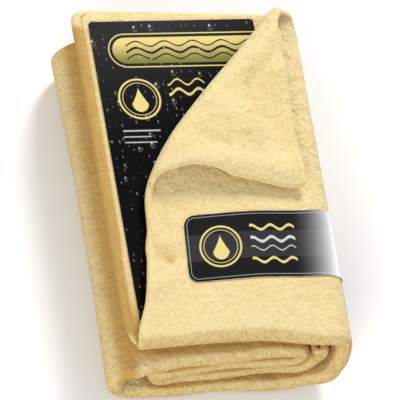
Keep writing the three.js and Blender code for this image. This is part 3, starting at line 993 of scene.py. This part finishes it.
def band_path(f, band):
    """Line of the band in the XZ plane, on the skin of the pack: over the front, then down the right side."""
    places = 36
    end_x = f.left_x + band.inset - band.slant
    first_step = band.slant + band.corner + 1 * MM
    x = np.append(end_x, np.linspace(end_x + first_step, f.turn_x, places))
    front = np.stack([x, f.flap_z + f.ply / 2 + f.flap_crown * crown_share(f, x) + band.play], axis=1)
    side = walk_right_side(f)[-2::-1]
    gap = mix(f.ply_gap, f.pocket_gap, climb_share(f, side[:, 1]))
    skin = (gap / 2 + f.ply + band.play)[:, None]
    down = side[:, :2] + skin * np.stack([np.sin(side[:, 2]), -np.cos(side[:, 2])], axis=1)
    return np.concatenate([front, down[down[:, 1] > band.thickness]])


class CHAMOIS_OT_band(bpy.types.Operator):
    """Builds the wrap band"""
    bl_idname = "chamois.band"
    bl_label = "Wrap band"

    def execute(self, context):
        f = fold_plan(context.scene.chamois_hide_sizes)
        band = context.scene.chamois_band_sizes
        path = band_path(f, band)
        steps = np.hypot(*np.diff(path, axis=0).T)
        lengths = np.append(0, steps.cumsum())
        middle = f.near_y + band.far - band.width / 2
        strip = self.strip(path, steps, middle, band)
        self.unroll(strip.data, path, lengths, middle, band)
        self.thicken(strip, band.thickness)
        strip.data.materials.append(band_print(context.scene.chamois_finishes, band, lengths[-1]))
        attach(strip, "band")
        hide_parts("wrap_band")
        return {"FINISHED"}

    def strip(self, path, steps, middle, band):
        """One edge of a plane, drawn out step by step along the path, its front end's corners rounded."""
        hair = 0.1 * MM
        bpy.ops.object.select_all(action="DESELECT")
        bpy.ops.mesh.primitive_plane_add(size=band.width)
        strip = bpy.context.object
        strip.name = "band_strip"
        bpy.ops.object.mode_set(mode="EDIT")
        self.pick(strip, lambda place: place.x < 0)
        bpy.ops.mesh.delete(type="VERT")
        bpy.ops.mesh.select_all(action="SELECT")
        start = (path[0, 0] - band.width / 2, middle, path[0, 1])
        bpy.ops.transform.translate(value=start)
        for move, step in zip(np.diff(path, axis=0), steps):
            aside = step * math.tan(band.skew)
            bpy.ops.mesh.extrude_region_move(TRANSFORM_OT_translate={"value": (move[0], aside, move[1])})
        self.pick(strip, lambda place: place.x < path[0, 0] + hair and place.y > middle)
        slope = (path[1] - path[0]) / steps[0] * band.slant
        bpy.ops.transform.translate(value=(slope[0], 0, slope[1]))
        self.pick(strip, lambda place: place.x < path[0, 0] + band.slant + hair)
        bpy.ops.mesh.bevel(offset=band.corner, segments=8, affect="VERTICES")
        bpy.ops.mesh.select_all(action="SELECT")
        bpy.ops.mesh.normals_make_consistent(inside=False)
        bpy.ops.object.mode_set(mode="OBJECT")
        front = max(strip.data.polygons, key=lambda face: face.center.z)
        if front.normal.z < 0:
            strip.data.flip_normals()
        return strip

    def pick(self, strip, wanted):
        """Selects the vertices at the wanted places."""
        work = bmesh.from_edit_mesh(strip.data)
        bpy.ops.mesh.select_all(action="DESELECT")
        for vertex in work.verts:
            vertex.select = bool(wanted(vertex.co))
        work.select_flush(True)
        bmesh.update_edit_mesh(strip.data)

    def unroll(self, mesh, path, lengths, middle, band):
        """Lays the strip out flat on its UV map, from 0 to 1 along and across."""
        samples = 4000
        along = np.linspace(0, lengths[-1], samples)
        line = np.stack([np.interp(along, lengths, path[:, axis]) for axis in range(2)], axis=1)
        flat = mesh.uv_layers.new(name="strip")
        for loop in mesh.loops:
            place = mesh.vertices[loop.vertex_index].co
            nearest = along[np.argmin(np.hypot(line[:, 0] - place.x, line[:, 1] - place.z))]
            across = (place.y - middle - nearest * math.tan(band.skew)) / band.width + 0.5
            flat.data[loop.index].uv = ((nearest - band.slant * across) / lengths[-1], across)

    def thicken(self, strip, thickness):
        solid = strip.modifiers.new("thickness", "SOLIDIFY")
        solid.thickness = thickness
        solid.offset = 1
        bpy.ops.object.modifier_apply(modifier=solid.name)
        bpy.ops.object.shade_smooth_by_angle(angle=math.radians(35))


class CHAMOIS_OT_stage(bpy.types.Operator):
    """Sets the floor, the light and the camera"""
    bl_idname = "chamois.stage"
    bl_label = "Stage"

    def execute(self, context):
        self.floor()
        self.light(context.scene)
        self.camera(context.scene)
        context.scene.view_settings.view_transform = "Standard"
        return {"FINISHED"}

    def floor(self):
        """A pale floor that keeps the shadow; the camera and gloss see it white."""
        bpy.ops.object.select_all(action="DESELECT")
        bpy.ops.mesh.primitive_plane_add(size=8, location=(0, 0, -0.0002))
        floor = bpy.context.object
        floor.name = "floor"
        finish = Finish("floor")
        seen = finish.node("ShaderNodeLightPath")
        straight = Level(finish, seen.outputs["Is Camera Ray"]).most(seen.outputs["Is Glossy Ray"])
        pale, white = (0.7, 0.7, 0.7), (0.97, 0.97, 0.97)
        finish.set(Base_Color=finish.blend(pale, white, straight), Roughness=0.9, Specular_IOR_Level=0.1)
        floor.data.materials.append(finish.material)

    def light(self, scene):
        world = bpy.data.worlds.new("studio")
        world.use_nodes = True
        background = world.node_tree.nodes["Background"]
        background.inputs["Color"].default_value = (1, 1, 1, 1)
        background.inputs["Strength"].default_value = 0.43
        scene.world = world
        self.softbox("key", 70, 36, (0.45, 0.45), 25)
        self.softbox("side", 45, 20, (0.8, 0.8), 3)
        self.softbox("fill", -125, 30, (0.8, 0.8), 18)

    def softbox(self, name, azimuth, elevation, panel, power):
        distance = 1.8
        lamp = bpy.data.lights.new(name, "AREA")
        lamp.shape = "RECTANGLE"
        lamp.size, lamp.size_y = panel
        lamp.energy = power
        made = bpy.data.objects.new(name, lamp)
        around, up = math.radians(azimuth), math.radians(elevation)
        way = Vector((math.cos(up) * math.cos(around), math.cos(up) * math.sin(around), math.sin(up)))
        made.location = distance * way
        made.rotation_mode = "QUATERNION"
        made.rotation_quaternion = (-way).to_track_quat("-Z", "Y")
        bpy.context.scene.collection.objects.link(made)

    def camera(self, scene):
        azimuth, tilt, roll = math.radians(-40.7), math.radians(30.9), math.radians(34.95)
        aim_right, aim_up, distance = 0.0086, 0.0128, 6.0
        frame_width = 0.2247
        turn = Matrix.Rotation(azimuth, 4, "Z") @ Matrix.Rotation(tilt, 4, "X")
        turn = turn @ Matrix.Rotation(roll, 4, "Z")
        camera = bpy.data.cameras.new("camera")
        camera.sensor_width = 36
        camera.lens = camera.sensor_width * distance / frame_width
        camera.clip_end = 20
        made = bpy.data.objects.new("camera", camera)
        made.matrix_world = turn @ Matrix.Translation((aim_right, aim_up, distance))
        scene.collection.objects.link(made)
        scene.camera = made


class CHAMOIS_PT_pack(bpy.types.Panel):
    """Lists the pieces of the folded chamois"""
    bl_label = "Folded chamois"
    bl_space_type = "VIEW_3D"
    bl_region_type = "UI"
    bl_category = "Chamois"

    def draw(self, context):
        for operator in OPERATORS:
            self.layout.operator(operator.bl_idname)
        for key, group in GROUPS.items():
            for name in group.__annotations__:
                self.layout.prop(getattr(context.scene, key), name)


GROUPS = {"chamois_hide_sizes": HideSizes, "chamois_band_sizes": BandSizes, "chamois_finishes": Finishes}
OPERATORS = (CHAMOIS_OT_hide, CHAMOIS_OT_card, CHAMOIS_OT_band, CHAMOIS_OT_stage)
CLASSES = (*GROUPS.values(), *OPERATORS, CHAMOIS_PT_pack)


def register():
    for made in CLASSES:
        bpy.utils.register_class(made)
    for key, group in GROUPS.items():
        setattr(bpy.types.Scene, key, PointerProperty(type=group))


def unregister():
    for key in GROUPS:
        delattr(bpy.types.Scene, key)
    for made in reversed(CLASSES):
        bpy.utils.unregister_class(made)


def main():
    register()
    bpy.ops.chamois.stage()
    bpy.ops.chamois.hide()
    bpy.ops.chamois.card()
    bpy.ops.chamois.band()
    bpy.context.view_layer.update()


if __name__ == "__main__":
    main()
